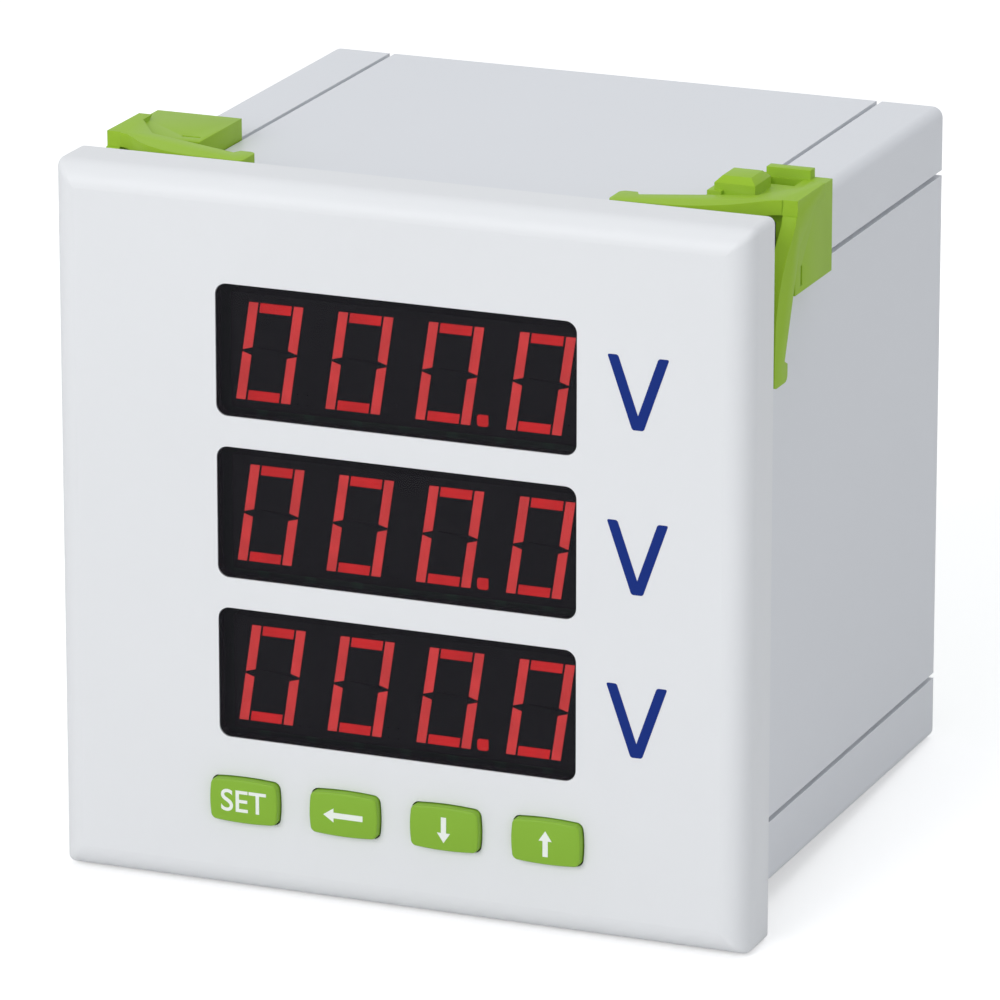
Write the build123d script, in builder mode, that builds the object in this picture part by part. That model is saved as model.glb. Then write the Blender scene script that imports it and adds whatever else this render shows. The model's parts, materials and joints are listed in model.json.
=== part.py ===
from build123d import *
from math import radians, tan
import os

# Three-row digital panel meter with a square bezel, held in a panel cut-out by two corner clips.
# Frame: origin at the centre of the panel plane, which is the rear face of the bezel.
# +X is to the right seen from the front, +Y goes into the panel, +Z is up. All lengths are in mm.

# Display modules, each with a row of slanted seven-segment digits
digit_count = 4
digit_width = 6.3
digit_height = 10.9
digit_gap = 4.1
digit_slant = 8.5
stroke = 1.08
stroke_gap = 0.25
middle_half_height = 0.48
notch_outside = 0.12
notch_inside = 0.45
dot_size = 1.3
dot_gap = 3.77
module_side = 1.35
module_end = 0.95
module_depth = 7.0
module_wall = 1.0
module_gap = 0.1
module_shift = (0.2, -0.5)
pin_size = 0.5
pin_count = 6
pin_pitch = 6.0
pin_length = 2.9
pin_inset = 0.4

# Windows and their lenses
window_side = 0.65
window_end = 0.95
window_radius = 1.3
window_bar = 3.4
lens_margin = 1.0
lens_flange = 0.8
lens_recess = 0.1
lens_fit = 0.05

# Keys and their switches
key_width = 8.0
key_height = 4.95
key_space = 3.75
key_bulge = 0.2
key_corner = 0.7
key_gap = 0.15
key_proud = 0.9
key_flange = 0.7
key_flange_depth = 0.9
key_rest_gap = 0.05
key_travel = 0.5
stem_size = 2.6
plunger_size = 3.0
plunger_seat = 0.9
plunger_gap = 0.1
switch_size = 6.0
switch_depth = 3.5
switch_height = 5.0

# Bezel, which is square and as high as its rows need
margin_above_windows = 11.5
space_above_keys = 4.5
margin_below_keys = 8.15
bezel_depth = 7.3
bezel_wall = 2.1
bezel_edge_radius = 2.8
bezel_corner_radius = 0.8
bezel_rim = 3.0
bezel_fit = 0.15

# Case, which goes through a panel cut-out 2 mm wider than itself
case_wall = 2.0
case_corner_radius = 1.2
case_front_gap = 0.1
cutout_clearance = 1.0
groove_inset = 7.5
groove_width = 0.6
groove_depth = 0.9
boss_size = 6.5
boss_hole_depth = 9.0
rib_thickness = 1.2
rib_height = 1.5

# Snap lugs that hold the case in the bezel
lug_length = 9.0
lug_width = 1.2
lug_height = 0.75
lug_offset = 20.0
lug_setback = 1.6
lug_clearance = 0.15

# Boards
board_thickness = 1.6
board_clearance = 0.2
board_front_gap = 2.4
board_rear_gap = 0.3
post_size = 4.0

# Rear cover and its screws
cover_thickness = 2.0
cover_clearance = 0.15
vent_count = 9
vent_pitch = 4.4
vent_width = 1.6
vent_length = 14.0
screw_head_radius = 2.1
screw_head_height = 1.3
screw_radius = 1.1
screw_length = 8.0
screw_hole_clearance = 0.3
cross_length = 2.4
cross_width = 0.55
cross_depth = 0.7

# Terminal blocks: a header on each board and a plug that pulls off it
terminal_count = 4
terminal_pitch = 7.62
header_end = 1.2
header_height = 10.0
header_depth = 12.0
header_wall = 1.1
header_floor = 2.2
header_clearance = 0.2
contact_size = 1.1
contact_reach = 6.2
contact_tail = 3.4
plug_end_gap = 0.4
plug_overhang = 2.6
plug_depth = 10.8
plug_nose = 7.6
plug_clearance = 0.15
plug_gap = 0.1
wire_entry_width = 4.6
wire_entry_height = 5.0
wire_entry_depth = 9.4
wire_entry_offset = 1.9
screw_well_clearance = 0.15
plug_screw_radius = 2.0
plug_screw_recess = 0.8
plug_screw_setback = 4.7
slot_width = 0.7
slot_depth = 0.7
clamp_wall = 0.5
clamp_length = 5.0
clamp_setback = 2.2

# Board components, placed by their distance in front of the header and inside the screw bosses
strip_width = 20.3
strip_size = 2.5
strip_gap = 1.2
strip_pins = 8
strip_pitch = 2.54
strip_pin = 0.64
component_clearance = 0.8
core_width = 26.0
core_height = 15.6
core_stack = 9.0
core_leg = 7.0
core_yoke = 3.6
space_before_coil = 12.5
coil_overhang = 4.6
sensor_count = 3
sensor_size = 15.0
sensor_height = 12.0
sensor_gap = 3.0
space_before_sensors = 10.1
space_behind_sensors = 16.5
can_radius = 5.0
can_height = 15.0
can_gap = 1.0
can_setback = 14.5
chip_size = 7.0
chip_height = 1.4
chip_lead_reach = 1.0
chip_lead_width = 0.35
chip_lead_thickness = 0.2
chip_lead_pitch = 1.27
chip_lead_count = 5
chip_setback = 8.0

# Corner clips
clip_clearance = 0.15
clip_step = 0.5
clip_front = 8.0
clip_length = 11.3
clip_lip = 0.4
clip_lip_gap = 0.2
arm_edge_gap = 0.1
arm_cutout_gap = 0.3
arm_length = 18.9
arm_root_front = 1.4
arm_root_back = 7.5
arm_tip_front = 0.5
arm_tip_width = 3.2
arm_tip_radius = 0.8
arm_heel_length = 1.9
arm_heel_height = 0.9
arm_join = 5.0
ear_size = (4.6, 4.8)
ear_place = (7.2, 3.2)
ear_height = 1.9
ear_radius = 0.7
step_size = (1.6, 2.4)
step_place = (9.3, 1.4)
step_height = 0.45
rear_lip_size = (5.0, 1.4)
rear_lip_place = (4.5, 10.6)
rear_lip_height = 1.0
recess_size = (3.6, 2.8)
recess_place = (4.5, 8.2)
recess_depth = 1.3
slit_size = (0.5, 2.2)
slit_place = (1.9, 8.3)
slit_depth = 1.1

# Places worked out from the sizes above
row_names = ("top", "middle", "bottom")
digit_pitch = digit_width + digit_gap
module_width = (digit_count - 1) * digit_pitch + digit_width + 2 * module_side
module_height = digit_height + 2 * module_end
window_width = module_width + 2 * window_side
window_height = module_height + 2 * window_end
window_pitch = window_height + window_bar
windows_height = window_height + (len(row_names) - 1) * window_pitch
bezel_size = margin_above_windows + windows_height + space_above_keys + key_height + margin_below_keys
bezel_front = -bezel_depth
bezel_inner = bezel_front + bezel_wall
case_size = bezel_size - 2 * bezel_rim
pocket_size = case_size + 2 * bezel_fit
case_front = bezel_inner + case_front_gap
case_inside = case_size - 2 * case_wall
groove_centre = case_size / 2 - groove_inset
top_row = bezel_size / 2 - margin_above_windows - window_height / 2
window_rows = {name: top_row - n * window_pitch for n, name in enumerate(row_names)}
module_x = module_shift[0]
module_rows = [z + module_shift[1] for z in window_rows.values()]
lens_front = bezel_front + lens_recess
lens_step = bezel_inner - lens_flange
module_front = bezel_inner + module_gap
module_rear = module_front + module_depth
board_front = module_rear
board_rear = board_front + board_thickness
key_row = margin_below_keys + key_height / 2 - bezel_size / 2
key_pitch = key_width + key_space
key_front = bezel_front - key_proud
key_shoulder = bezel_inner + key_rest_gap
switch_front = board_front - switch_depth
plunger_front = board_front - switch_height
plunger_rear = switch_front + plunger_seat
boss_centre = (case_inside - boss_size) / 2
boss_inner = boss_centre - boss_size / 2
side_board_front = board_rear + board_front_gap
component_front = side_board_front + strip_size
sensor_y = component_front + space_before_sensors + sensor_size / 2
header_front = sensor_y + sensor_size / 2 + space_behind_sensors
case_length = header_front + header_depth
cover_inner = case_length - cover_thickness
cover_size = case_inside - 2 * cover_clearance
header_width = terminal_count * terminal_pitch + 2 * header_end
lowest_top_pin = module_rows[0] - module_height / 2 + module_wall + pin_inset
side_board_face = lowest_top_pin + strip_gap - strip_size / 2
terminal_height = side_board_face + header_height / 2
side_board_inner = side_board_face - board_thickness
side_board_rear = cover_inner - board_rear_gap
side_board_length = side_board_rear - side_board_front
side_board_middle = (side_board_front + side_board_rear) / 2
side_board_width = case_inside - 2 * board_clearance
nose_front = case_length + plug_gap - plug_nose
plug_width = header_width - 2 * plug_end_gap
plug_height = header_height + 2 * plug_overhang
plug_front = case_length + plug_gap
plug_rear = plug_front + plug_depth
arm_inner = case_size / 2 + cutout_clearance + arm_cutout_gap
arm_outer = bezel_size / 2 - arm_edge_gap
arm_thickness = arm_outer - arm_inner
arm_tip = arm_outer - arm_length
arm_tip_rear = arm_tip_front + arm_tip_width
clip_inner = case_size / 2 + clip_clearance
clip_outer = arm_outer - clip_step
lip_inner = groove_centre - clip_lip / 2
lip_outer = groove_centre + clip_lip / 2
lip_end = case_size / 2 - groove_depth + clip_lip_gap
key_names = ["set", "left", "down", "up"]
key_centres = [(n - (len(key_names) - 1) / 2) * key_pitch for n in range(len(key_names))]
slant_rate = tan(radians(digit_slant))


def at_depth(y):
    """Plane facing the front at depth y: sketch x is X, sketch y is Z, and a negative extrusion goes back."""
    return Plane.XZ.offset(-y)


def save(part, name):
    part.label = name
    export_step(part, f"parts/{name}.step")


def key_outline(grow=0.0):
    """Key outline with slightly bulged sides, centred on the sketch's current location."""
    half_x = key_width / 2 - key_bulge + grow
    half_z = key_height / 2 - key_bulge + grow
    reach_x = half_x + key_bulge
    reach_z = half_z + key_bulge
    with BuildSketch(mode=Mode.PRIVATE) as outline:
        with BuildLine():
            ThreePointArc((-half_x, -half_z), (0, -reach_z), (half_x, -half_z))
            ThreePointArc((half_x, -half_z), (reach_x, 0), (half_x, half_z))
            ThreePointArc((half_x, half_z), (0, reach_z), (-half_x, half_z))
            ThreePointArc((-half_x, half_z), (-reach_x, 0), (-half_x, -half_z))
        make_face()
        fillet(outline.vertices(), key_corner + grow)
    add(outline.sketch)


def slanted(points, centre_x, centre_z):
    return [(centre_x + u + w * slant_rate, centre_z + w) for u, w in points]


def digit_shapes(centre_x, centre_z):
    """The seven segments and the dot of one digit, as point lists in X and Z."""
    half_w = digit_width / 2
    half_h = digit_height / 2
    inner = half_w - stroke
    upright = [(half_w, notch_outside), (half_w, half_h), (inner, half_h), (inner, notch_inside)]
    bar_end = inner - stroke_gap
    bar = [(-bar_end, half_h - stroke), (bar_end, half_h - stroke), (bar_end, half_h), (-bar_end, half_h)]
    tip = half_w - stroke / 2
    shoulder = inner - stroke_gap
    low = -middle_half_height
    high = middle_half_height
    middle = [(-tip, 0), (-shoulder, low), (shoulder, low), (tip, 0), (shoulder, high), (-shoulder, high)]
    shapes = [slanted(middle, centre_x, centre_z)]
    for side in (-1, 1):
        shapes.append(slanted([(u, w * side) for u, w in bar], centre_x, centre_z))
        for face in (-1, 1):
            shapes.append(slanted([(u * side, w * face) for u, w in upright], centre_x, centre_z))
    return shapes


def segment_sketch(centre_z):
    """All light areas of one module: four slanted digits, each with a dot."""
    for n in range(digit_count):
        centre_x = module_x + (n - (digit_count - 1) / 2) * digit_pitch
        for points in digit_shapes(centre_x, centre_z):
            Polygon(*points, align=None)
        with Locations((centre_x + dot_gap, centre_z - digit_height / 2 + dot_size / 2)):
            Rectangle(dot_size, dot_size)


os.makedirs("parts", exist_ok=True)

# Front bezel: a tray with windows, key holes, board posts and snap lugs
with BuildPart() as front_bezel:
    with BuildSketch(at_depth(bezel_front)):
        Rectangle(bezel_size, bezel_size)
    extrude(amount=-bezel_depth)
    fillet(front_bezel.faces().sort_by(Axis.Y)[0].edges(), bezel_edge_radius)
    fillet(front_bezel.edges().filter_by(Axis.Y), bezel_corner_radius)
    with BuildSketch(at_depth(0)):
        RectangleRounded(pocket_size, pocket_size, case_corner_radius + bezel_fit)
    extrude(amount=bezel_depth - bezel_wall, mode=Mode.SUBTRACT)
    with BuildSketch(at_depth(bezel_inner)):
        with Locations(*[(0, z) for z in window_rows.values()]):
            RectangleRounded(window_width, window_height, window_radius)
        with Locations(*[(x, key_row) for x in key_centres]):
            key_outline(key_gap)
    extrude(amount=bezel_wall, mode=Mode.SUBTRACT)
    with BuildSketch(at_depth(bezel_inner)):
        with Locations(*[(0, z) for z in window_rows.values()]):
            Rectangle(window_width + 2 * lens_margin, window_height + 2 * lens_margin)
    extrude(amount=lens_flange, mode=Mode.SUBTRACT)
    with BuildSketch(at_depth(bezel_inner)):
        with GridLocations(2 * boss_centre, 2 * boss_centre, 2, 2):
            Rectangle(post_size, post_size)
    extrude(amount=-(board_front - bezel_inner))
    with BuildSketch(at_depth(-lug_setback - lug_width)):
        with GridLocations(2 * lug_offset, pocket_size - lug_height, 2, 2):
            Rectangle(lug_length, lug_height)
        with GridLocations(pocket_size - lug_height, 2 * lug_offset, 2, 2):
            Rectangle(lug_height, lug_length)
    extrude(amount=-lug_width)
save(front_bezel.part, "front_bezel")

# Rear case: a square tube with corner rails between grooves, screw bosses and board guides
with BuildPart() as rear_case:
    with BuildSketch(at_depth(case_front)):
        RectangleRounded(case_size, case_size, case_corner_radius)
        Rectangle(case_inside, case_inside, mode=Mode.SUBTRACT)
    extrude(amount=-(case_length - case_front))
    with BuildSketch(at_depth(board_rear)):
        with GridLocations(2 * boss_centre, 2 * boss_centre, 2, 2):
            Rectangle(boss_size, boss_size)
    extrude(amount=-(cover_inner - board_rear))
    with BuildSketch(at_depth(side_board_front)):
        for side in (-1, 1):
            guides = [
                side * (side_board_face + board_clearance + rib_thickness / 2),
                side * (side_board_inner - board_clearance - rib_thickness / 2),
            ]
            for z in guides:
                with GridLocations(case_inside - rib_height, 0, 2, 1):
                    with Locations((0, z)):
                        Rectangle(rib_height, rib_thickness)
    extrude(amount=-side_board_length)
    with BuildSketch(at_depth(case_length)):
        with GridLocations(2 * groove_centre, case_size - groove_depth, 2, 2):
            Rectangle(groove_width, groove_depth)
        with GridLocations(case_size - groove_depth, 2 * groove_centre, 2, 2):
            Rectangle(groove_depth, groove_width)
    extrude(amount=case_length, mode=Mode.SUBTRACT)
    with BuildSketch(at_depth(-lug_setback - lug_width - lug_clearance)):
        with GridLocations(2 * lug_offset, case_size, 2, 2):
            Rectangle(lug_length + 2 * lug_clearance, 2 * case_wall)
        with GridLocations(case_size, 2 * lug_offset, 2, 2):
            Rectangle(2 * case_wall, lug_length + 2 * lug_clearance)
    extrude(amount=-(lug_width + 2 * lug_clearance), mode=Mode.SUBTRACT)
    with BuildSketch(at_depth(cover_inner)):
        with GridLocations(2 * boss_centre, 2 * boss_centre, 2, 2):
            Circle(screw_radius)
    extrude(amount=boss_hole_depth, mode=Mode.SUBTRACT)
save(rear_case.part, "rear_case")

# Rear cover: an inset plate with header openings, vents and four screws
with BuildPart() as rear_cover:
    with BuildSketch(at_depth(cover_inner)):
        Rectangle(cover_size, cover_size)
        with GridLocations(0, 2 * terminal_height, 1, 2):
            Rectangle(header_width + 2 * header_clearance, header_height + 2 * header_clearance, mode=Mode.SUBTRACT)
        with GridLocations(vent_pitch, 0, vent_count, 1):
            Rectangle(vent_width, vent_length, mode=Mode.SUBTRACT)
        with GridLocations(2 * boss_centre, 2 * boss_centre, 2, 2):
            Circle(screw_radius + screw_hole_clearance, mode=Mode.SUBTRACT)
    extrude(amount=-cover_thickness)
save(rear_cover.part, "rear_cover")

with BuildPart() as cover_screws:
    with BuildSketch(at_depth(case_length)):
        with GridLocations(2 * boss_centre, 2 * boss_centre, 2, 2):
            Circle(screw_head_radius)
    extrude(amount=-screw_head_height)
    with BuildSketch(at_depth(case_length)):
        with GridLocations(2 * boss_centre, 2 * boss_centre, 2, 2):
            Circle(screw_radius)
    extrude(amount=screw_length)
    with BuildSketch(at_depth(case_length + screw_head_height)):
        with GridLocations(2 * boss_centre, 2 * boss_centre, 2, 2):
            Rectangle(cross_length, cross_width)
            Rectangle(cross_width, cross_length)
    extrude(amount=cross_depth, mode=Mode.SUBTRACT)
save(cover_screws.part, "cover_screws")

# Display rows: a lens, a black reflector housing and the clear resin that fills its segments
for (row_name, window_z), module_z in zip(window_rows.items(), module_rows):
    with BuildPart() as lens:
        with BuildSketch(at_depth(lens_front)):
            with Locations((0, window_z)):
                RectangleRounded(window_width - 2 * lens_fit, window_height - 2 * lens_fit, window_radius)
        extrude(amount=-(bezel_inner - lens_front))
        flange_width = window_width + 2 * (lens_margin - lens_fit)
        flange_height = window_height + 2 * (lens_margin - lens_fit)
        with BuildSketch(at_depth(lens_step + lens_fit)):
            with Locations((0, window_z)):
                Rectangle(flange_width, flange_height)
        extrude(amount=-(bezel_inner - lens_step - lens_fit))
    save(lens.part, f"window_lens_{row_name}")

    cavity_width = module_width - 2 * module_wall
    cavity_height = module_height - 2 * module_wall
    with BuildPart() as housing:
        with BuildSketch(at_depth(module_front)):
            with Locations((module_x, module_z)):
                Rectangle(module_width, module_height)
        extrude(amount=-module_depth)
        with BuildSketch(at_depth(module_front)):
            segment_sketch(module_z)
        extrude(amount=-module_wall, mode=Mode.SUBTRACT)
        with BuildSketch(at_depth(module_front + module_wall)):
            with Locations((module_x, module_z)):
                Rectangle(cavity_width, cavity_height)
        extrude(amount=-(module_depth - module_wall), mode=Mode.SUBTRACT)
    save(housing.part, f"display_housing_{row_name}")

    with BuildPart() as resin:
        with BuildSketch(at_depth(module_front)):
            segment_sketch(module_z)
        extrude(amount=-module_wall)
        with BuildSketch(at_depth(module_front + module_wall)):
            with Locations((module_x, module_z)):
                Rectangle(cavity_width, cavity_height)
        extrude(amount=-(module_depth - module_wall))
    save(resin.part, f"display_resin_{row_name}")


def display_pin_outline():
    for z in module_rows:
        with Locations((module_x, z)):
            with GridLocations(pin_pitch, module_height - 2 * (module_wall + pin_inset), pin_count, 2):
                Rectangle(pin_size, pin_size)


def strip_pin_outline():
    for side in (-1, 1):
        with Locations((0, side * (side_board_face + strip_size / 2))):
            with GridLocations(strip_pitch, 0, strip_pins, 1):
                Rectangle(strip_pin, strip_pin)


with BuildPart() as display_pins:
    with BuildSketch(at_depth(module_rear)):
        display_pin_outline()
    extrude(amount=-pin_length)
save(display_pins.part, "display_pins")

# Display board, clamped between the bezel's posts and the case's bosses
with BuildPart() as display_board:
    with BuildSketch(at_depth(board_front)):
        Rectangle(side_board_width, side_board_width)
        with BuildSketch(mode=Mode.PRIVATE) as drilled:
            display_pin_outline()
            strip_pin_outline()
        add(drilled.sketch, mode=Mode.SUBTRACT)
    extrude(amount=-board_thickness)
save(display_board.part, "display_board")

# Keys: bulged caps with a retaining flange and a stem that rests on the switch plunger
for key_name, key_x in zip(key_names, key_centres):
    with BuildPart() as key:
        with BuildSketch(at_depth(key_front)):
            with Locations((key_x, key_row)):
                key_outline()
        extrude(amount=-(key_shoulder - key_front))
        with BuildSketch(at_depth(key_shoulder)):
            with Locations((key_x, key_row)):
                Rectangle(key_width + 2 * key_flange, key_height + 2 * key_flange)
        extrude(amount=-key_flange_depth)
        with BuildSketch(at_depth(key_shoulder)):
            with Locations((key_x, key_row)):
                Rectangle(stem_size, stem_size)
        extrude(amount=-(plunger_front - key_shoulder))
    save(key.part, f"key_{key_name}")

    with BuildPart() as plunger:
        with BuildSketch(at_depth(plunger_front)):
            with Locations((key_x, key_row)):
                Rectangle(plunger_size, plunger_size)
        extrude(amount=-(plunger_rear - plunger_front))
    save(plunger.part, f"switch_plunger_{key_name}")

    with BuildPart() as switch:
        with BuildSketch(at_depth(switch_front)):
            with Locations((key_x, key_row)):
                Rectangle(switch_size, switch_size)
        extrude(amount=-switch_depth)
        with BuildSketch(at_depth(switch_front)):
            with Locations((key_x, key_row)):
                Rectangle(plunger_size + 2 * plunger_gap, plunger_size + 2 * plunger_gap)
        extrude(amount=-(plunger_seat + key_travel + plunger_gap), mode=Mode.SUBTRACT)
    save(switch.part, f"tact_switch_{key_name}")

# Side boards: the signal board above and the power board below, with terminal headers at the rear
for side, row_name, board_name in ((1, "top", "signal_board"), (-1, "bottom", "power_board")):
    contact_z = side * terminal_height
    board_low = side_board_inner if side > 0 else -side_board_face
    with BuildPart() as board:
        with BuildSketch(Plane.XY.offset(board_low)):
            with Locations((0, side_board_middle)):
                Rectangle(side_board_width, side_board_length)
            with Locations((0, header_front - contact_size / 2)):
                with GridLocations(terminal_pitch, 0, terminal_count, 1):
                    Rectangle(contact_size, contact_size, mode=Mode.SUBTRACT)
        extrude(amount=board_thickness)
    save(board.part, board_name)

    with BuildPart() as header:
        with BuildSketch(at_depth(header_front)):
            with Locations((0, contact_z)):
                Rectangle(header_width, header_height)
                with GridLocations(terminal_pitch, 0, terminal_count, 1):
                    Rectangle(contact_size, contact_size, mode=Mode.SUBTRACT)
        extrude(amount=-header_floor)
        with BuildSketch(at_depth(header_front + header_floor)):
            with Locations((0, contact_z)):
                Rectangle(header_width, header_height)
                Rectangle(header_width - 2 * header_wall, header_height - 2 * header_wall, mode=Mode.SUBTRACT)
        extrude(amount=-(header_depth - header_floor))
    save(header.part, f"terminal_header_{row_name}")

    with BuildPart() as contacts:
        with BuildSketch(at_depth(header_front - contact_size)):
            with Locations((0, contact_z)):
                with GridLocations(terminal_pitch, 0, terminal_count, 1):
                    Rectangle(contact_size, contact_size)
        extrude(amount=-(contact_size + header_floor + contact_reach))
        with BuildSketch(Plane.XY.offset(contact_z)):
            with Locations((0, header_front - contact_size / 2)):
                with GridLocations(terminal_pitch, 0, terminal_count, 1):
                    Rectangle(contact_size, contact_size)
        extrude(amount=-side * (terminal_height - side_board_inner + contact_tail / 2))
    save(contacts.part, f"header_contacts_{row_name}")

    with BuildPart() as plug:
        with BuildSketch(at_depth(nose_front)):
            with Locations((0, contact_z)):
                Rectangle(
                    header_width - 2 * (header_wall + plug_clearance),
                    header_height - 2 * (header_wall + plug_clearance),
                )
        extrude(amount=-(plug_front - nose_front))
        with BuildSketch(at_depth(plug_front)):
            with Locations((0, contact_z)):
                Rectangle(plug_width, plug_height)
        extrude(amount=-plug_depth)
        with BuildSketch(at_depth(nose_front)):
            with Locations((0, contact_z)):
                with GridLocations(terminal_pitch, 0, terminal_count, 1):
                    socket = contact_size + 2 * plug_clearance
                    Rectangle(socket, socket)
        extrude(amount=-plug_nose, mode=Mode.SUBTRACT)
        with BuildSketch(at_depth(plug_rear)):
            with Locations((0, contact_z - side * wire_entry_offset)):
                with GridLocations(terminal_pitch, 0, terminal_count, 1):
                    Rectangle(wire_entry_width, wire_entry_height)
        extrude(amount=wire_entry_depth, mode=Mode.SUBTRACT)
        well_reach = plug_screw_radius + screw_well_clearance
        well_depth = plug_height / 2 + wire_entry_offset - wire_entry_height / 2
        with BuildSketch(Plane.XY.offset(side * (terminal_height + plug_height / 2))):
            with Locations((0, plug_rear - plug_screw_setback)):
                with GridLocations(terminal_pitch, 0, terminal_count, 1):
                    Rectangle(2 * well_reach, 2 * well_reach)
        extrude(amount=-side * well_depth, mode=Mode.SUBTRACT)
    save(plug.part, f"terminal_plug_{row_name}")

    entry_z = contact_z - side * wire_entry_offset
    with BuildPart() as clamps:
        with BuildSketch(at_depth(plug_rear - clamp_setback)):
            with Locations((0, entry_z)):
                with GridLocations(terminal_pitch, 0, terminal_count, 1):
                    Rectangle(wire_entry_width, wire_entry_height)
                    Rectangle(
                        wire_entry_width - 2 * clamp_wall,
                        wire_entry_height - 2 * clamp_wall,
                        mode=Mode.SUBTRACT,
                    )
        extrude(amount=clamp_length)
    save(clamps.part, f"plug_clamps_{row_name}")

    screw_seat = terminal_height - wire_entry_offset + wire_entry_height / 2
    screw_top = terminal_height + plug_height / 2 - plug_screw_recess
    with BuildPart() as plug_screws:
        with BuildSketch(Plane.XY.offset(side * screw_seat)):
            with Locations((0, plug_rear - plug_screw_setback)):
                with GridLocations(terminal_pitch, 0, terminal_count, 1):
                    Circle(plug_screw_radius)
        extrude(amount=side * (screw_top - screw_seat))
        with BuildSketch(Plane.XY.offset(side * screw_top)):
            with Locations((0, plug_rear - plug_screw_setback)):
                with GridLocations(terminal_pitch, 0, terminal_count, 1):
                    Rectangle(2 * plug_screw_radius, slot_width)
        extrude(amount=-side * slot_depth, mode=Mode.SUBTRACT)
    save(plug_screws.part, f"plug_screws_{row_name}")

    with BuildPart() as connector:
        with BuildSketch(at_depth(side_board_front)):
            with Locations((0, side * (side_board_face + strip_size / 2))):
                Rectangle(strip_width, strip_size)
        extrude(amount=-strip_size)
        with BuildSketch(at_depth(board_front)):
            with Locations((0, side * (side_board_face + strip_size / 2))):
                with GridLocations(strip_pitch, 0, strip_pins, 1):
                    Rectangle(strip_pin, strip_pin)
        extrude(amount=-(side_board_front - board_front))
    save(connector.part, f"board_connector_{row_name}")


def chip_leads(width):
    """Rows of leads on the two long sides of a chip that is drawn in the current sketch."""
    with GridLocations(width + chip_lead_reach, chip_lead_pitch, 2, chip_lead_count):
        Rectangle(chip_lead_reach, chip_lead_width)


# Voltage sensing transformers and the metering chip on the signal board
for n, sensor_name in enumerate(("left", "centre", "right")):
    with BuildPart() as sensor:
        with BuildSketch(Plane.XY.offset(side_board_face)):
            with Locations(((n - (sensor_count - 1) / 2) * (sensor_size + sensor_gap), sensor_y)):
                Rectangle(sensor_size, sensor_size)
        extrude(amount=sensor_height)
    save(sensor.part, f"voltage_sensor_{sensor_name}")

meter_chip_place = (boss_inner - component_clearance - chip_size / 2, header_front - chip_setback)
with BuildPart() as metering_chip:
    with BuildSketch(Plane.XY.offset(side_board_face)):
        with Locations(meter_chip_place):
            Rectangle(chip_size, chip_size)
    extrude(amount=chip_height)
    with BuildSketch(Plane.XY.offset(side_board_face)):
        with Locations(meter_chip_place):
            chip_leads(chip_size)
    extrude(amount=chip_lead_thickness)
save(metering_chip.part, "metering_chip")

# Controller chip on the back of the display board
controller_place = (boss_inner - component_clearance - chip_size / 2, 0)
with BuildPart() as controller_chip:
    with BuildSketch(at_depth(board_rear)):
        with Locations(controller_place):
            Rectangle(chip_size, chip_size)
    extrude(amount=-chip_height)
    with BuildSketch(at_depth(board_rear)):
        with Locations(controller_place):
            chip_leads(chip_size)
    extrude(amount=-chip_lead_thickness)
save(controller_chip.part, "controller_chip")

# Power transformer and filter capacitors under the power board
coil_length = core_stack + 2 * coil_overhang
core_place = (core_width / 2 + component_clearance - boss_inner, component_front + space_before_coil + coil_length / 2)
core_x, core_y = core_place
core_z = -side_board_face - core_height / 2
coil_window = (core_width - core_leg - 2 * core_yoke) / 2
window_centre = (core_leg + coil_window) / 2
with BuildPart() as transformer_core:
    with BuildSketch(at_depth(core_y - core_stack / 2)):
        with Locations((core_x, core_z)):
            Rectangle(core_width, core_height)
            with GridLocations(2 * window_centre, 0, 2, 1):
                Rectangle(coil_window, core_height - 2 * core_yoke, mode=Mode.SUBTRACT)
    extrude(amount=-core_stack)
save(transformer_core.part, "transformer_core")

with BuildPart() as transformer_coil:
    with BuildSketch(Plane.XY.offset(core_z - core_height / 2 + core_yoke)):
        with Locations(core_place):
            RectangleRounded(core_leg + 2 * coil_window, coil_length, coil_overhang / 2)
            Rectangle(core_leg, core_stack, mode=Mode.SUBTRACT)
    extrude(amount=core_height - 2 * core_yoke)
save(transformer_coil.part, "transformer_coil")

can_pitch = 2 * can_radius + can_gap
can_x = boss_inner - component_clearance - can_radius
can_y = header_front - can_setback
can_places = [(can_x - can_pitch, can_y), (can_x, can_y - can_pitch)]
with BuildPart() as filter_capacitors:
    with BuildSketch(Plane.XY.offset(-side_board_face)):
        with Locations(*can_places):
            Circle(can_radius)
    extrude(amount=-can_height)
save(filter_capacitors.part, "filter_capacitors")


def arm_outline():
    """Spring arm seen square on: sketch x runs outward to the clip's corner, sketch y is the depth Y."""
    heel_end = arm_tip + arm_heel_length
    with BuildSketch(mode=Mode.PRIVATE) as outline:
        with BuildLine():
            Polyline(
                (arm_outer, arm_root_front),
                (arm_tip, arm_tip_front),
                (arm_tip, arm_tip_rear + arm_heel_height),
                (heel_end, arm_tip_rear + arm_heel_height),
                (heel_end + arm_heel_height / 2, arm_tip_rear),
                (arm_outer - arm_join, clip_front),
                (arm_outer, clip_front + arm_root_back),
                close=True,
            )
        make_face()
        tip_corners = outline.vertices().group_by(Axis.X)[0]
        fillet(tip_corners, arm_tip_radius)
    add(outline.sketch)


def on_clip_top(place):
    """Point on the top flange, given by its distances from the clip's outer face and front edge."""
    return (clip_outer - place[0], clip_front + place[1])


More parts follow.
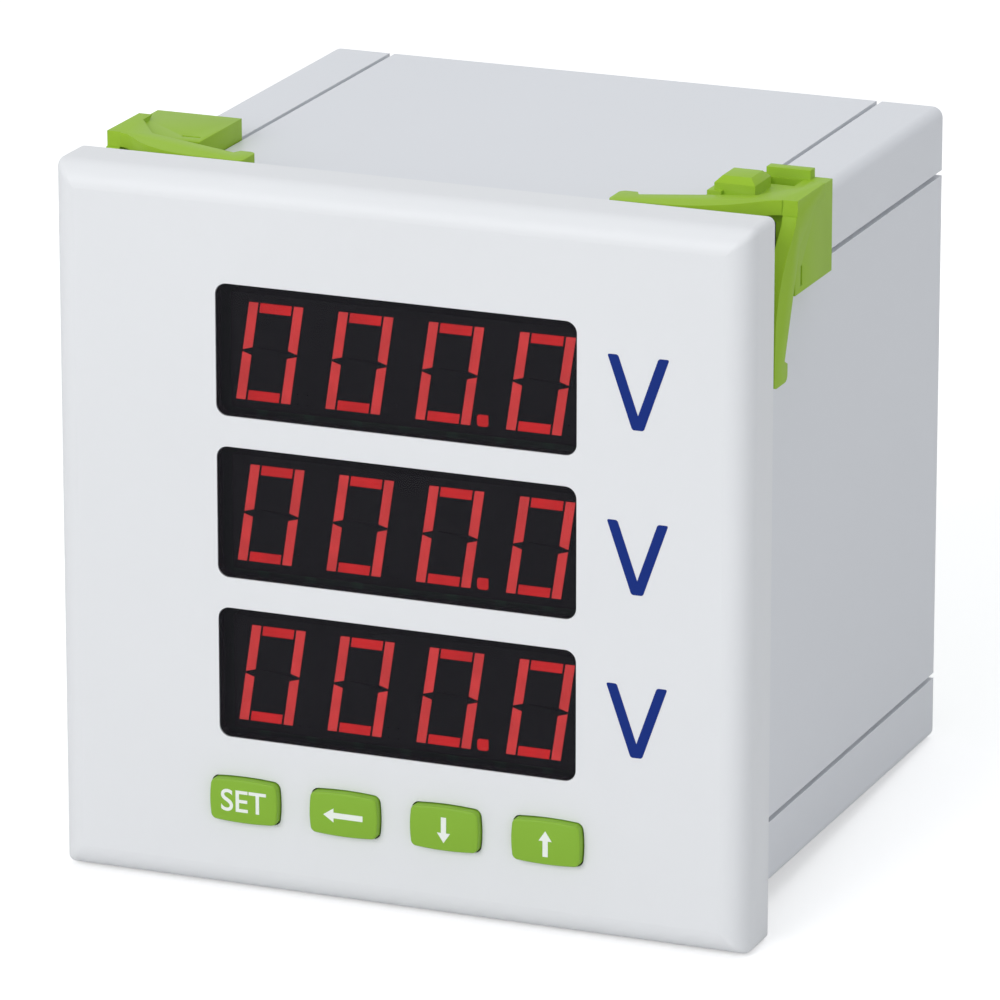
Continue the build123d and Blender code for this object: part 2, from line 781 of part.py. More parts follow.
# Right corner clip: two flanges hooked in the grooves, and two spring arms that press on the panel
with BuildPart() as corner_clip_right:
    with BuildSketch(at_depth(clip_front)):
        with BuildLine():
            Polyline(
                (clip_outer, clip_outer),
                (lip_inner, clip_outer),
                (lip_inner, lip_end),
                (lip_outer, lip_end),
                (lip_outer, clip_inner),
                (clip_inner, clip_inner),
                (clip_inner, lip_outer),
                (lip_end, lip_outer),
                (lip_end, lip_inner),
                (clip_outer, lip_inner),
                close=True,
            )
        make_face()
    extrude(amount=-clip_length)
    with BuildSketch(Plane(origin=(0, 0, arm_outer), x_dir=(1, 0, 0), z_dir=(0, 0, 1))):
        arm_outline()
    extrude(amount=-arm_thickness)
    with BuildSketch(Plane(origin=(arm_outer, 0, 0), x_dir=(0, 0, 1), z_dir=(-1, 0, 0))):
        arm_outline()
    extrude(amount=arm_thickness)
    with BuildSketch(Plane.XY.offset(clip_outer)):
        with Locations(on_clip_top(ear_place)):
            Rectangle(*ear_size)
    extrude(amount=ear_height)
    chamfer(corner_clip_right.faces().sort_by(Axis.Z)[-1].edges(), ear_radius)
    with BuildSketch(Plane.XY.offset(clip_outer)):
        with Locations(on_clip_top(step_place)):
            Rectangle(*step_size)
    extrude(amount=step_height)
    with BuildSketch(Plane.XY.offset(clip_outer)):
        with Locations(on_clip_top(rear_lip_place)):
            Rectangle(*rear_lip_size)
    extrude(amount=rear_lip_height)
    with BuildSketch(Plane.XY.offset(clip_outer)):
        with Locations(on_clip_top(recess_place)):
            Rectangle(*recess_size)
    extrude(amount=-recess_depth, mode=Mode.SUBTRACT)
    with BuildSketch(Plane.YZ.offset(clip_outer)):
        with Locations((clip_front + slit_place[0], clip_outer - slit_place[1])):
            Rectangle(*slit_size)
    extrude(amount=-slit_depth, mode=Mode.SUBTRACT)
save(corner_clip_right.part, "corner_clip_right")

# Left corner clip: the same moulding turned a quarter about the depth axis
with BuildPart() as corner_clip_left:
    add(corner_clip_right.part, rotation=(0, -90, 0))
save(corner_clip_left.part, "corner_clip_left")
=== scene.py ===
import json
import math

import bpy
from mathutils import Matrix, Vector


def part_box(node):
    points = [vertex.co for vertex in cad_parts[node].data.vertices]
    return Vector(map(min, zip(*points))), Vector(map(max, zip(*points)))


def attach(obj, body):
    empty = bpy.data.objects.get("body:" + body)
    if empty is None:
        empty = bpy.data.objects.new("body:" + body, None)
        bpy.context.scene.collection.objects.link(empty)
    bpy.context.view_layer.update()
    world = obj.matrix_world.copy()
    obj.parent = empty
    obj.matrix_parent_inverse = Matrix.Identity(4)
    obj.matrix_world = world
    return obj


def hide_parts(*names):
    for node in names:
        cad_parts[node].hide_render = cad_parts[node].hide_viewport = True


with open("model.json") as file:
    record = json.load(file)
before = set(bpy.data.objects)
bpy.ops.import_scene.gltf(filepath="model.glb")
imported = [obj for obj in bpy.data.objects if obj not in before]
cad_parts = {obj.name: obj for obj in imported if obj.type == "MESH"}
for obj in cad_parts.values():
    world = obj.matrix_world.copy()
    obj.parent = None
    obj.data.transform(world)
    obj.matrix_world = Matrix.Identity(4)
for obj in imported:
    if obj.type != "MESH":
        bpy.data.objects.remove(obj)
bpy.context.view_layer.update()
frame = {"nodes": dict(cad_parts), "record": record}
MM = 0.001

# How near two places must be to count as the same
NEAR = 1e-6

# Digits and dots, in metres, in the same frame as the CAD
ROWS = {"top": 21.15 * MM, "middle": 3.05 * MM, "bottom": -15.05 * MM}
MODULE_SHIFT = Vector((0.2, 0, -0.5)) * MM
DIGIT_PITCH = 10.4 * MM
DIGIT_WIDTH = 6.3 * MM
DIGIT_HEIGHT = 10.9 * MM
STROKE = 1.08 * MM
STROKE_GAP = 0.25 * MM
NOTCH_OUTSIDE = 0.12 * MM
NOTCH_INSIDE = 0.45 * MM
MIDDLE_HALF = 0.48 * MM
DOT_SIZE = 1.3 * MM
DOT_OFFSET = 3.77 * MM
SLANT = math.tan(math.radians(8.5))
MODULE_WALL = 1.0 * MM
RESIN_BACK_HALF = 5.4 * MM
RESIN_BACK_INSET = 0.4 * MM
DIGIT_COUNT = 4
LIT_DOT = 2

# Prints on the bezel and the keys
PRINT_PROUD = 0.03 * MM
V_TOP = 4.32 * MM
V_BOTTOM = -3.73 * MM
V_HALF = 3.475 * MM
V_STROKE = 1.2 * MM
V_CENTRE = 27.65 * MM
V_FOOT = 0.65 * MM
V_END_RADIUS = 0.22 * MM
WORD_HEIGHT = 3.5 * MM
LETTER_SWELL = 0.03 * MM
ARROW_SHAFT = 0.2
ARROW_HEAD = 0.75
PRINT_DROP = 0.1 * MM

# Soft edges of the mouldings
KEY_EDGE = 0.22 * MM
CLIP_EDGE = 0.22 * MM
PLUG_EDGE = 0.25 * MM

# Front edge of a spring arm, from near its tip to the clip's corner, in millimetres: how far out along the arm,
# and how deep behind the bezel
ARM_FRONT = [(25.5, 0.5), (27, 0.7), (29, 1.1), (31, 1.75), (33, 2.8), (34.5, 3.9), (36, 5.4), (37.2, 6.5),
             (38.5, 7.0), (41, 7.3)]
CUTTER_FRONT = -1
# Just inside and just outside the arms, measured from the middle of the case
ARM_SIDES = (38.2 * MM, 41 * MM)


# ---- working by hand in the viewport ----

def deselect():
    bpy.ops.object.select_all(action="DESELECT")


def take(piece):
    """Make this piece the only one selected, and the active one."""
    deselect()
    piece.select_set(True)
    bpy.context.view_layer.objects.active = piece
    return piece


def settle(piece):
    """Put the piece's place, turn and scale into its mesh."""
    take(piece)
    bpy.ops.object.transform_apply(location=True, rotation=True, scale=True)
    return piece


def named(name):
    """Give the active piece and its mesh a name."""
    piece = bpy.context.active_object
    piece.name = name
    piece.data.name = name
    return piece


def block(name, low, high):
    """A box between two corners."""
    low, high = Vector(low), Vector(high)
    deselect()
    bpy.ops.mesh.primitive_cube_add(size=1, location=(low + high) / 2)
    piece = named(name)
    piece.scale = high - low
    return settle(piece)


def pick(piece, mode, test):
    """Enter edit mode with only the vertices chosen, or only the edges, whose places pass the test."""
    take(piece)
    bpy.ops.object.mode_set(mode="EDIT")
    bpy.ops.mesh.select_mode(type=mode)
    bpy.ops.mesh.select_all(action="DESELECT")
    bpy.ops.object.mode_set(mode="OBJECT")
    mesh = piece.data
    if mode == "VERT":
        for corner in mesh.vertices:
            corner.select = test(corner.co)
    else:
        for edge in mesh.edges:
            edge.select = test(*(mesh.vertices[n].co for n in edge.vertices))
    bpy.ops.object.mode_set(mode="EDIT")


def done():
    bpy.ops.object.mode_set(mode="OBJECT")


def nudge(piece, test, by):
    """Move the vertices that pass the test."""
    pick(piece, "VERT", test)
    bpy.ops.transform.translate(value=by)
    done()


def finish_with(piece, kind, **settings):
    """Add a modifier and apply it."""
    take(piece)
    modifier = piece.modifiers.new(kind.title(), kind)
    for key, value in settings.items():
        setattr(modifier, key, value)
    bpy.ops.object.modifier_apply(modifier=modifier.name)
    return piece


def soften(piece, width):
    """Round the piece's sharp edges."""
    return finish_with(piece, "BEVEL", width=width, segments=2, limit_method="ANGLE",
                       angle_limit=math.radians(35), harden_normals=False)


def face_outwards(piece):
    """Turn every face of a closed piece to the outside."""
    take(piece)
    bpy.ops.object.mode_set(mode="EDIT")
    bpy.ops.mesh.select_all(action="SELECT")
    bpy.ops.mesh.normals_make_consistent(inside=False)
    done()
    return piece


def plate(name, points, front, back):
    """A flat plate cut to an outline in X and Z: a filled ring, its corners moved one by one, then extruded."""
    deselect()
    bpy.ops.mesh.primitive_circle_add(vertices=len(points), radius=1, fill_type="NGON",
                                      rotation=(math.pi / 2, 0, 0))
    piece = settle(named(name))
    for corner, (x, z) in zip(piece.data.vertices, points):
        corner.co = (x, back, z)
    take(piece)
    bpy.ops.object.mode_set(mode="EDIT")
    bpy.ops.mesh.select_all(action="SELECT")
    bpy.ops.mesh.extrude_region_move(TRANSFORM_OT_translate={"value": (0, front - back, 0)})
    done()
    return face_outwards(piece)


def delete(piece):
    take(piece)
    bpy.ops.object.delete()


def join(name, pieces):
    """One piece out of several."""
    deselect()
    for piece in pieces:
        piece.select_set(True)
    bpy.context.view_layer.objects.active = pieces[0]
    bpy.ops.object.join()
    return named(name)


def copy_of(piece, name, by=(0, 0, 0)):
    """A copy with its own mesh, moved by a distance that goes into the mesh."""
    take(piece)
    bpy.ops.object.duplicate(linked=False)
    twin = named(name)
    twin.location = Vector(twin.location) + Vector(by)
    return settle(twin)


def dressed(node_name, name, body):
    """A copy of a CAD node to finish by hand, with its loose triangles merged back into flat faces."""
    piece = copy_of(frame["nodes"][node_name], name)
    bpy.ops.object.mode_set(mode="EDIT")
    bpy.ops.mesh.select_all(action="SELECT")
    bpy.ops.mesh.remove_doubles(threshold=NEAR)
    bpy.ops.mesh.dissolve_limited(angle_limit=math.radians(1))
    done()
    stands_for(piece, node_name, body)
    return piece


def stands_for(piece, node_name, body):
    """The piece moves with the body and takes the node's place."""
    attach(piece, body)
    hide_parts(node_name)


def smooth(piece):
    take(piece)
    bpy.ops.object.shade_smooth_by_angle(angle=math.radians(30))


# ---- finishes ----

def node(tree, kind, **inputs):
    made = tree.nodes.new(kind)
    for key, value in inputs.items():
        made.inputs[key.replace("_", " ")].default_value = value
    return made


def grain_group():
    """Moulded plastic: a slow drift of tone and a fine grain, as tone, roughness and height."""
    group = bpy.data.node_groups.new("moulded_grain", "ShaderNodeTree")
    for name, value in (("Grain Scale", 900.0), ("Drift", 0.03), ("Roughness", 0.4), ("Spread", 0.06)):
        socket = group.interface.new_socket(name, in_out="INPUT", socket_type="NodeSocketFloat")
        socket.default_value = value
    for name in ("Tone", "Roughness", "Height"):
        group.interface.new_socket(name, in_out="OUTPUT", socket_type="NodeSocketFloat")
    link = group.links.new
    given = group.nodes.new("NodeGroupInput")
    out = group.nodes.new("NodeGroupOutput")
    place = group.nodes.new("ShaderNodeTexCoord")
    slow = node(group, "ShaderNodeTexNoise", Scale=38.0, Detail=3.0)
    fine = node(group, "ShaderNodeTexNoise", Detail=2.0)
    link(place.outputs["Object"], slow.inputs["Vector"])
    link(place.outputs["Object"], fine.inputs["Vector"])
    link(given.outputs["Grain Scale"], fine.inputs["Scale"])
    centred = group.nodes.new("ShaderNodeMath")
    centred.operation = "SUBTRACT"
    centred.inputs[1].default_value = 0.5
    link(slow.outputs["Fac"], centred.inputs[0])
    tone = group.nodes.new("ShaderNodeMath")
    tone.operation = "MULTIPLY_ADD"
    tone.inputs[2].default_value = 1.0
    link(centred.outputs[0], tone.inputs[0])
    link(given.outputs["Drift"], tone.inputs[1])
    rough = group.nodes.new("ShaderNodeMath")
    rough.operation = "MULTIPLY_ADD"
    link(centred.outputs[0], rough.inputs[0])
    link(given.outputs["Spread"], rough.inputs[1])
    link(given.outputs["Roughness"], rough.inputs[2])
    link(tone.outputs[0], out.inputs["Tone"])
    link(rough.outputs[0], out.inputs["Roughness"])
    link(fine.outputs["Fac"], out.inputs["Height"])
    return group


GRAIN = grain_group()


def moulded(name, colour, roughness=0.4, drift=0.03, grain=900.0, bump=0.02, specular=0.5, coat=0.0):
    """A moulded plastic or painted finish in one colour."""
    material = bpy.data.materials.new(name)
    material.use_nodes = True
    tree = material.node_tree
    shader = tree.nodes["Principled BSDF"]
    shader.inputs["Specular IOR Level"].default_value = specular
    shader.inputs["Coat Weight"].default_value = coat
    texture = tree.nodes.new("ShaderNodeGroup")
    texture.node_tree = GRAIN
    texture.inputs["Grain Scale"].default_value = grain
    texture.inputs["Drift"].default_value = drift
    texture.inputs["Roughness"].default_value = roughness
    tint = tree.nodes.new("ShaderNodeVectorMath")
    tint.name = "Tint"
    tint.operation = "SCALE"
    tint.inputs[0].default_value = colour
    tree.links.new(texture.outputs["Tone"], tint.inputs["Scale"])
    tree.links.new(tint.outputs[0], shader.inputs["Base Color"])
    tree.links.new(texture.outputs["Roughness"], shader.inputs["Roughness"])
    relief = tree.nodes.new("ShaderNodeBump")
    relief.name = "Relief"
    relief.inputs["Strength"].default_value = bump
    relief.inputs["Distance"].default_value = 0.0001
    tree.links.new(texture.outputs["Height"], relief.inputs["Height"])
    tree.links.new(relief.outputs["Normal"], shader.inputs["Normal"])
    return material


def metal(name, colour, roughness):
    """Bare or plated metal, with more grain than plastic has."""
    material = moulded(name, colour, roughness=roughness, drift=0.12, grain=500.0, bump=0.06)
    material.node_tree.nodes["Principled BSDF"].inputs["Metallic"].default_value = 1.0
    return material


def glowing(name, colour, glow, strength):
    """Light-diffusing resin with a lamp behind it, a little uneven along its length."""
    material = moulded(name, colour, roughness=0.5, drift=0.2, bump=0.0)
    tree = material.node_tree
    shader = tree.nodes["Principled BSDF"]
    place = tree.nodes.new("ShaderNodeTexCoord")
    patches = node(tree, "ShaderNodeTexNoise", Scale=420.0, Detail=1.0)
    tree.links.new(place.outputs["Object"], patches.inputs["Vector"])
    span = tree.nodes.new("ShaderNodeMapRange")
    span.inputs["From Min"].default_value = 0.3
    span.inputs["From Max"].default_value = 0.7
    span.inputs["To Min"].default_value = 0.86
    span.inputs["To Max"].default_value = 1.08
    tree.links.new(patches.outputs["Fac"], span.inputs["Value"])
    tint = tree.nodes.new("ShaderNodeVectorMath")
    tint.operation = "SCALE"
    tint.inputs[0].default_value = glow
    tree.links.new(span.outputs[0], tint.inputs["Scale"])
    tree.links.new(tint.outputs[0], shader.inputs["Emission Color"])
    shader.inputs["Emission Strength"].default_value = strength
    return material


def smoked_lens(name):
    """Thin clear plastic with a grey tint and a polished face. Its cut edges are inked black."""
    material = moulded(name, (0.015, 0.014, 0.018), roughness=0.22, drift=0.0, bump=0.0, specular=0.14)
    tree = material.node_tree
    facing = tree.nodes.new("ShaderNodeTexCoord")
    parts = tree.nodes.new("ShaderNodeSeparateXYZ")
    tree.links.new(facing.outputs["Normal"], parts.inputs[0])
    depth = tree.nodes.new("ShaderNodeMath")
    depth.operation = "ABSOLUTE"
    tree.links.new(parts.outputs["Y"], depth.inputs[0])
    cover = tree.nodes.new("ShaderNodeMapRange")
    cover.inputs["From Min"].default_value = 0.4
    cover.inputs["From Max"].default_value = 0.6
    cover.inputs["To Min"].default_value = 1.0
    cover.inputs["To Max"].default_value = 0.45
    tree.links.new(depth.outputs[0], cover.inputs["Value"])
    tree.links.new(cover.outputs[0], tree.nodes["Principled BSDF"].inputs["Alpha"])
    return material


def circuit_board(name, colour):
    """Solder mask with a pattern of buried tracks."""
    material = moulded(name, colour, roughness=0.3, coat=0.4)
    tree = material.node_tree
    shader = tree.nodes["Principled BSDF"]
    place = tree.nodes.new("ShaderNodeTexCoord")
    tracks = node(tree, "ShaderNodeTexBrick", Scale=90.0, Mortar_Size=0.06)
    tracks.inputs["Color1"].default_value = (*colour, 1)
    tracks.inputs["Color2"].default_value = (*[c * 0.8 for c in colour], 1)
    tracks.inputs["Mortar"].default_value = (*[c * 1.7 for c in colour], 1)
    tree.links.new(place.outputs["Object"], tracks.inputs["Vector"])
    tree.links.new(tracks.outputs["Color"], shader.inputs["Base Color"])
    tree.nodes.remove(tree.nodes["Tint"])
    return material


def windings(name, colour):
    """Enamelled wire wound in layers round the coil."""
    material = moulded(name, colour, roughness=0.3)
    tree = material.node_tree
    place = tree.nodes.new("ShaderNodeTexCoord")
    turns = node(tree, "ShaderNodeTexWave", Scale=600.0)
    turns.bands_direction = "Z"
    tree.links.new(place.outputs["Object"], turns.inputs["Vector"])
    relief = tree.nodes["Relief"]
    relief.inputs["Strength"].default_value = 0.6
    relief.inputs["Distance"].default_value = 0.0002
    tree.links.new(turns.outputs["Fac"], relief.inputs["Height"])
    tree.nodes["Principled BSDF"].inputs["Metallic"].default_value = 0.6
    return material


FINISHES = {
    "bezel_white": moulded("bezel_white", (0.77, 0.78, 0.795), roughness=0.42, specular=0.35),
    "case_grey": moulded("case_grey", (0.73, 0.745, 0.775), roughness=0.45, specular=0.35),
    "lens_smoked": smoked_lens("lens_smoked"),
    "display_black": moulded("display_black", (0.009, 0.009, 0.011), roughness=0.6, bump=0.0, specular=0.2),
    "segment_red": glowing("segment_red", (0.5, 0.03, 0.03), (0.8, 0.02, 0.02), 1.0),
    "board_green": circuit_board("board_green", (0.02, 0.16, 0.06)),
    "connector_black": moulded("connector_black", (0.02, 0.02, 0.021), roughness=0.45),
    "chip_black": moulded("chip_black", (0.025, 0.025, 0.026), roughness=0.55),
    "sensor_blue": moulded("sensor_blue", (0.03, 0.09, 0.33), roughness=0.25, coat=0.3),
    "core_steel": metal("core_steel", (0.32, 0.32, 0.34), roughness=0.45),
    "coil_copper": windings("coil_copper", (0.6, 0.26, 0.1)),
    "can_aluminium": moulded("can_sleeve", (0.03, 0.03, 0.05), roughness=0.25, coat=0.3),
    "key_green": moulded("key_green", (0.235, 0.44, 0.035), roughness=0.45, specular=0.25),
    "clip_green": moulded("clip_green", (0.31, 0.51, 0.03), roughness=0.45, drift=0.08, specular=0.15),
    "terminal_green": moulded("terminal_green", (0.03, 0.25, 0.09), roughness=0.42),
    "contact_brass": metal("contact_brass", (0.78, 0.58, 0.30), roughness=0.28),
    "steel": metal("plated_steel", (0.55, 0.55, 0.57), roughness=0.38),
}
PRINT_BLUE = moulded("print_blue", (0.008, 0.028, 0.2), roughness=0.6, specular=0.1)
PRINT_WHITE = moulded("print_white", (0.82, 0.86, 0.80), roughness=0.5)
LIT_UPRIGHT = glowing("lit_upright", (0.5, 0.04, 0.04), (0.85, 0.06, 0.06), 1.9)
LIT_BAR = glowing("lit_bar", (0.5, 0.03, 0.03), (0.78, 0.018, 0.02), 1.9)
UNLIT = moulded("unlit_segment", (0.009, 0.009, 0.011), roughness=0.6, bump=0.0, specular=0.2)

slot_of = {part["node"]: part["material_slot"] for part in frame["record"]["subparts"]}
for node_name, part in frame["nodes"].items():
    for place in part.material_slots:
        place.material = FINISHES[slot_of[node_name]]


def painted(piece, material):
    piece.data.materials.clear()
    piece.data.materials.append(material)
    return piece


# ---- the digits ----

def slanted(piece):
    """Lean an upright shape over, one level of vertices at a time."""
    levels = sorted({round(corner.co.z, 6) for corner in piece.data.vertices})
    for level in levels:
        nudge(piece, lambda co: abs(co.z - level) < 2 * NEAR, (level * SLANT, 0, 0))
    return piece


def mirrored(piece, across_x, across_z):
    finish_with(piece, "MIRROR", use_axis=(across_x, False, across_z), use_mirror_merge=False)
    return face_outwards(piece)


def make_digit():
    """One digit about the origin: four uprights, two bars and the unlit middle, leaning to the right."""
    half_w, half_h = DIGIT_WIDTH / 2, DIGIT_HEIGHT / 2
    inner = half_w - STROKE
    upright = block("upright", (inner, 0, NOTCH_OUTSIDE), (half_w, MODULE_WALL, half_h))
    nudge(upright, lambda co: co.x < inner + NEAR and co.z < NOTCH_OUTSIDE + NEAR,
          (0, 0, NOTCH_INSIDE - NOTCH_OUTSIDE))
    painted(upright, LIT_UPRIGHT)
    mirrored(upright, True, True)
    bar = block("bar", (STROKE_GAP - inner, 0, half_h - STROKE), (inner - STROKE_GAP, MODULE_WALL, half_h))
    painted(bar, LIT_BAR)
    mirrored(bar, False, True)
    deselect()
    bpy.ops.mesh.primitive_cylinder_add(vertices=6, radius=1, depth=1, rotation=(math.pi / 2, 0, 0))
    middle = settle(named("middle"))
    tip = half_w - STROKE / 2
    shoulder = inner - STROKE_GAP
    take(middle)
    for corner in middle.data.vertices:
        side = 1 if corner.co.x > 0 else -1
        pointed = abs(corner.co.z) < 0.5
        corner.co = (side * (tip if pointed else shoulder), MODULE_WALL * (corner.co.y > 0),
                     0 if pointed else math.copysign(MIDDLE_HALF, corner.co.z))
    painted(middle, UNLIT)
    return slanted(join("digit", [upright, bar, middle]))


def make_dot(material):
    dot = block("dot", (-DOT_SIZE / 2, 0, 0), (DOT_SIZE / 2, MODULE_WALL, DOT_SIZE))
    pick(dot, "EDGE", lambda a, b: abs(a.y - b.y) > MODULE_WALL / 2)
    bpy.ops.mesh.bevel(offset=DOT_SIZE / 4, segments=3, affect="EDGES")
    done()
    return painted(dot, material)


digit = make_digit()
dots = {True: make_dot(LIT_BAR), False: make_dot(UNLIT)}
for row, window_z in ROWS.items():
    resin_node = f"display_resin_{row}"
    low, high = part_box(resin_node)
    centre = Vector((0, low.y, window_z)) + MODULE_SHIFT
    back = block("resin_back",
                 (low.x + RESIN_BACK_INSET, low.y + MODULE_WALL, centre.z - RESIN_BACK_HALF),
                 (high.x - RESIN_BACK_INSET, high.y, centre.z + RESIN_BACK_HALF))
    pieces = [painted(back, UNLIT)]
    for n in range(DIGIT_COUNT):
        x = centre.x + (n - (DIGIT_COUNT - 1) / 2) * DIGIT_PITCH
        pieces.append(copy_of(digit, "digit_copy", (x, centre.y, centre.z)))
        pieces.append(copy_of(dots[n == LIT_DOT], "dot_copy",
                              (x + DOT_OFFSET, centre.y, centre.z - DIGIT_HEIGHT / 2)))
    row_piece = join(f"lit_digits_{row}", pieces)
    stands_for(row_piece, resin_node, "meter")
for spare in (digit, *dots.values()):
    delete(spare)


# ---- printed marks ----

def make_v():
    """The letter V in flat print, with blunt ends and a blunt foot."""
    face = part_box("front_bezel")[0].y
    slope = (V_HALF - V_FOOT) / (V_TOP - V_BOTTOM)
    crotch = V_BOTTOM + (V_STROKE - V_FOOT) / slope
    right = [(V_HALF, V_TOP), (V_HALF - V_STROKE, V_TOP), (0, crotch)]
    left = [(-x, z) for x, z in reversed(right[:2])]
    foot = [(-V_FOOT, V_BOTTOM), (V_FOOT, V_BOTTOM)]
    letter = plate("v_mark", right + left + foot, face - PRINT_PROUD, face)
    pick(letter, "EDGE", lambda a, b: abs(a.y - b.y) > PRINT_PROUD / 2
         and min(abs(a.z - V_TOP), abs(a.z - V_BOTTOM)) < NEAR)
    bpy.ops.mesh.bevel(offset=V_END_RADIUS, segments=3, affect="EDGES")
    done()
    return painted(letter, PRINT_BLUE)


v_mark = make_v()
for row, window_z in ROWS.items():
    mark = copy_of(v_mark, f"v_mark_{row}", (V_CENTRE, 0, window_z))
    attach(mark, "meter")
delete(v_mark)


def key_word(name, word, height):
    """A word in flat print, upright and centred on the origin."""
    deselect()
    bpy.ops.object.text_add(rotation=(math.pi / 2, 0, 0))
    text = bpy.context.active_object
    text.data.body = word
    text.data.size = height
    text.data.align_x = "CENTER"
    text.data.align_y = "CENTER"
    text.data.extrude = PRINT_PROUD / 2
    text.data.offset = LETTER_SWELL
    take(text)
    bpy.ops.object.convert(target="MESH")
    return settle(named(name))


def arrow(name, length, width, turn):
    """A short arrow pointing up, then turned about the depth axis."""
    shaft = ARROW_SHAFT * width
    neck = length / 2 - ARROW_HEAD * width
    right = [(shaft, -length / 2), (shaft, neck), (width / 2, neck)]
    left = [(-x, z) for x, z in reversed(right)]
    piece = plate(name, right + [(0, length / 2)] + left, -PRINT_PROUD, 0)
    piece.rotation_euler = (0, turn, 0)
    return settle(piece)


KEYS = {
    "set": key_word("word_set", "SET", WORD_HEIGHT),
    "left": arrow("arrow_left", 4.6 * MM, 1.6 * MM, -math.pi / 2),
    "down": arrow("arrow_down", 2.9 * MM, 1.5 * MM, math.pi),
    "up": arrow("arrow_up", 2.9 * MM, 1.5 * MM, 0),
}
for key, symbol in KEYS.items():
    low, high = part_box(f"key_{key}")
    # A word's thickness is centred on its place, and an arrow's starts there
    depth = low.y - PRINT_PROUD / 2 if key == "set" else low.y
    symbol.location = ((low.x + high.x) / 2, depth, (low.z + high.z) / 2 - PRINT_DROP)
    settle(symbol)
    painted(symbol, PRINT_WHITE)
    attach(symbol, f"{key}_key")


# ---- keys, clips and plugs, with the soft edges of mouldings ----

def soften_front(cap, face):
    """Round the edges of a key's front face, and leave the rest of it sharp."""
    pick(cap, "EDGE", lambda a, b: abs(a.y - face) < NEAR and abs(b.y - face) < NEAR)
    bpy.ops.mesh.bevel(offset=KEY_EDGE, segments=3, affect="EDGES")
    done()


for key in KEYS:
    cap = dressed(f"key_{key}", f"key_cap_{key}", f"{key}_key")
    soften_front(cap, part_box(f"key_{key}")[0].y)
    smooth(cap)


def arm_cutter(along_x):
    """A block in front of one spring arm, with the arm's curved front edge as its rear face."""
    outline = ARM_FRONT + [(ARM_FRONT[-1][0], CUTTER_FRONT), (ARM_FRONT[0][0], CUTTER_FRONT)]
    outline = [(out * MM, deep * MM) for out, deep in outline]
    if along_x:
        turn = (-math.pi / 2, 0, 0)
    else:
        outline = [(deep, out) for out, deep in outline]
        turn = (0, 0, math.pi / 2)
    cutter = plate("arm_cutter", outline, -ARM_SIDES[1], -ARM_SIDES[0])
    cutter.rotation_euler = turn
    return settle(cutter)


clip = dressed("corner_clip_right", "panel_clip_right", "right_clip")
for along_x in (True, False):
    cutter = arm_cutter(along_x)
    finish_with(clip, "BOOLEAN", operation="DIFFERENCE", object=cutter, solver="EXACT")
    delete(cutter)
soften(clip, CLIP_EDGE)
smooth(clip)

# The left clip is the same moulding, turned a quarter about the depth axis
twin = copy_of(clip, "panel_clip_left")
twin.rotation_mode = "XYZ"
twin.rotation_euler = (0, -math.pi / 2, 0)
settle(twin)
stands_for(twin, "corner_clip_left", "left_clip")

for row in ("top", "bottom"):
    plug = dressed(f"terminal_plug_{row}", f"wire_plug_{row}", f"{row}_plug")
    soften(plug, PLUG_EDGE)
    smooth(plug)


# ---- floor, light and camera ----
CAMERA_TARGET = Vector((12.05, -7.3, 8.04)) * MM
CAMERA_AZIMUTH = math.radians(22.18)
CAMERA_ELEVATION = math.radians(16.98)
CAMERA_DISTANCE = 844.6 * MM
CAMERA_LENS = 287.56
LAMP_SIZE = 0.9
LAMP_AIM = Vector((0, 0.02, 0))
FLOOR_TONE = 0.84
FLOOR_LIFT = 0.42
WORLD_LIGHT = 0.5
WORLD_SEEN = 1.0


def make_floor():
    """A pale plane under the two edges that the meter rests on. The camera sees it a little brighter."""
    bezel_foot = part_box("front_bezel")
    case_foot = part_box("rear_case")
    rise = case_foot[0].z - bezel_foot[0].z
    run = case_foot[1].y
    deselect()
    bpy.ops.mesh.primitive_plane_add(size=6, location=(0, 0, bezel_foot[0].z),
                                     rotation=(math.atan2(rise, run), 0, 0))
    floor = named("floor")
    material = bpy.data.materials.new("pale_floor")
    material.use_nodes = True
    tree = material.node_tree
    shader = tree.nodes["Principled BSDF"]
    shader.inputs["Base Color"].default_value = (FLOOR_TONE, FLOOR_TONE, FLOOR_TONE, 1)
    shader.inputs["Roughness"].default_value = 0.9
    shader.inputs["Specular IOR Level"].default_value = 0.0
    shader.inputs["Emission Color"].default_value = (1, 1, 1, 1)
    path = tree.nodes.new("ShaderNodeLightPath")
    lift = tree.nodes.new("ShaderNodeMath")
    lift.operation = "MULTIPLY"
    lift.inputs[1].default_value = FLOOR_LIFT
    tree.links.new(path.outputs["Is Camera Ray"], lift.inputs[0])
    tree.links.new(lift.outputs[0], shader.inputs["Emission Strength"])
    painted(floor, material)


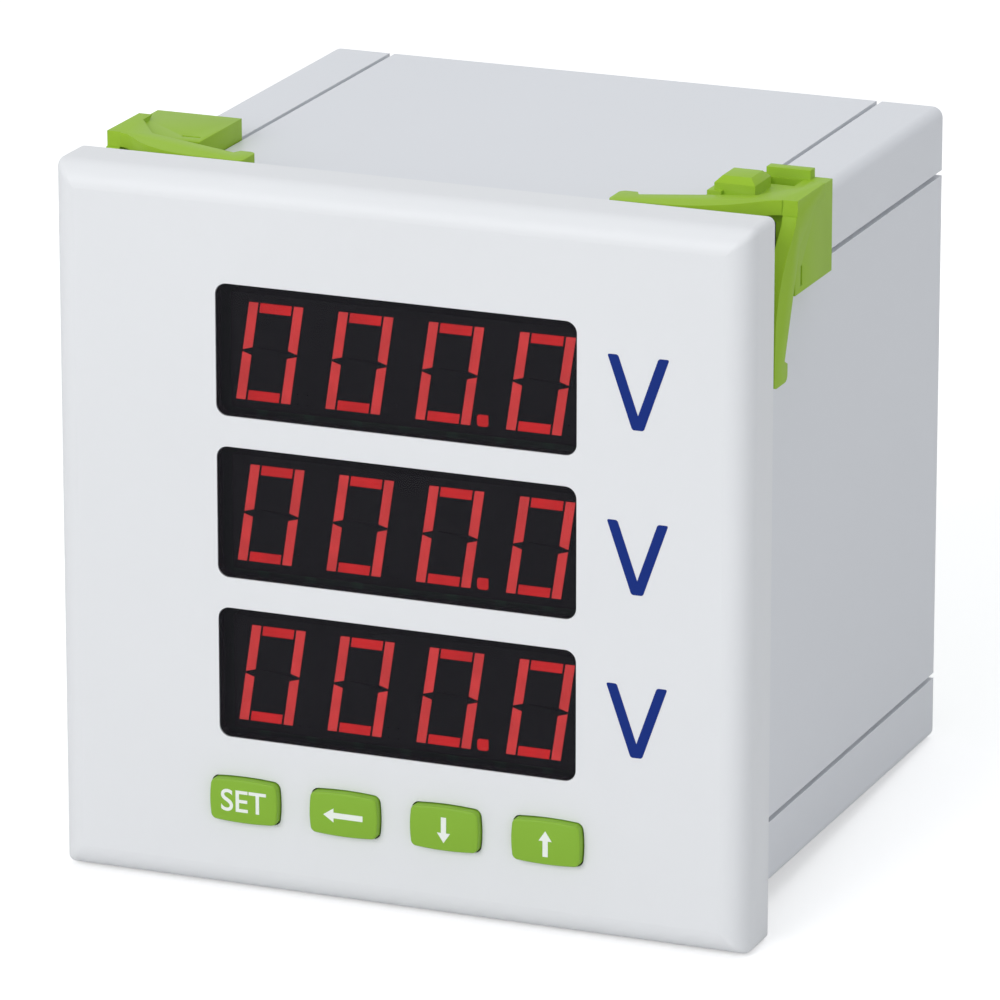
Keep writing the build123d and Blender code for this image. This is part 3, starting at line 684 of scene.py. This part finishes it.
def make_world():
    """Soft light from all round, which cameras, polished and clear surfaces see as white."""
    world = bpy.data.worlds.new("studio")
    bpy.context.scene.world = world
    world.use_nodes = True
    tree = world.node_tree
    background = tree.nodes["Background"]
    background.inputs["Color"].default_value = (0.95, 0.97, 1.0, 1)
    path = tree.nodes.new("ShaderNodeLightPath")
    level = tree.nodes.new("ShaderNodeMapRange")
    level.inputs["To Min"].default_value = WORLD_LIGHT
    level.inputs["To Max"].default_value = WORLD_SEEN
    seen = tree.nodes.new("ShaderNodeMath")
    seen.operation = "ADD"
    seen.use_clamp = True
    tree.links.new(path.outputs["Is Camera Ray"], seen.inputs[0])
    tree.links.new(path.outputs["Is Glossy Ray"], seen.inputs[1])
    through = tree.nodes.new("ShaderNodeMath")
    through.operation = "ADD"
    through.use_clamp = True
    tree.links.new(seen.outputs[0], through.inputs[0])
    tree.links.new(path.outputs["Is Transmission Ray"], through.inputs[1])
    tree.links.new(through.outputs[0], level.inputs["Value"])
    tree.links.new(level.outputs[0], background.inputs["Strength"])


def soft_lamp(name, where, power, colour=(1, 1, 1)):
    data = bpy.data.lights.new(name, "AREA")
    data.shape = "SQUARE"
    data.size = LAMP_SIZE
    data.energy = power
    data.color = colour
    lamp = bpy.data.objects.new(name, data)
    bpy.context.scene.collection.objects.link(lamp)
    lamp.location = where
    lamp.rotation_mode = "QUATERNION"
    lamp.rotation_quaternion = (LAMP_AIM - Vector(where)).to_track_quat("-Z", "Y")


def make_camera():
    """A long lens, turned 22.2 degrees to the right of the front and 17 degrees above it."""
    back = Vector((math.sin(CAMERA_AZIMUTH) * math.cos(CAMERA_ELEVATION),
                   -math.cos(CAMERA_AZIMUTH) * math.cos(CAMERA_ELEVATION),
                   math.sin(CAMERA_ELEVATION)))
    data = bpy.data.cameras.new("camera")
    data.lens = CAMERA_LENS
    data.sensor_width = 36
    data.clip_start = 0.05
    data.clip_end = 20
    camera = bpy.data.objects.new("camera", data)
    bpy.context.scene.collection.objects.link(camera)
    camera.location = CAMERA_TARGET + back * CAMERA_DISTANCE
    camera.rotation_mode = "QUATERNION"
    camera.rotation_quaternion = (-back).to_track_quat("-Z", "Y")
    bpy.context.scene.camera = camera


make_floor()
make_world()
soft_lamp("key_lamp", (-0.5, -1.35, 0.7), 11.2)
soft_lamp("top_lamp", (0.1, 0.2, 1.3), 4)
soft_lamp("fill_lamp", (1.1, -0.6, 0.4), 1.5, (0.93, 0.96, 1.0))
make_camera()
bpy.context.scene.view_settings.view_transform = "Standard"
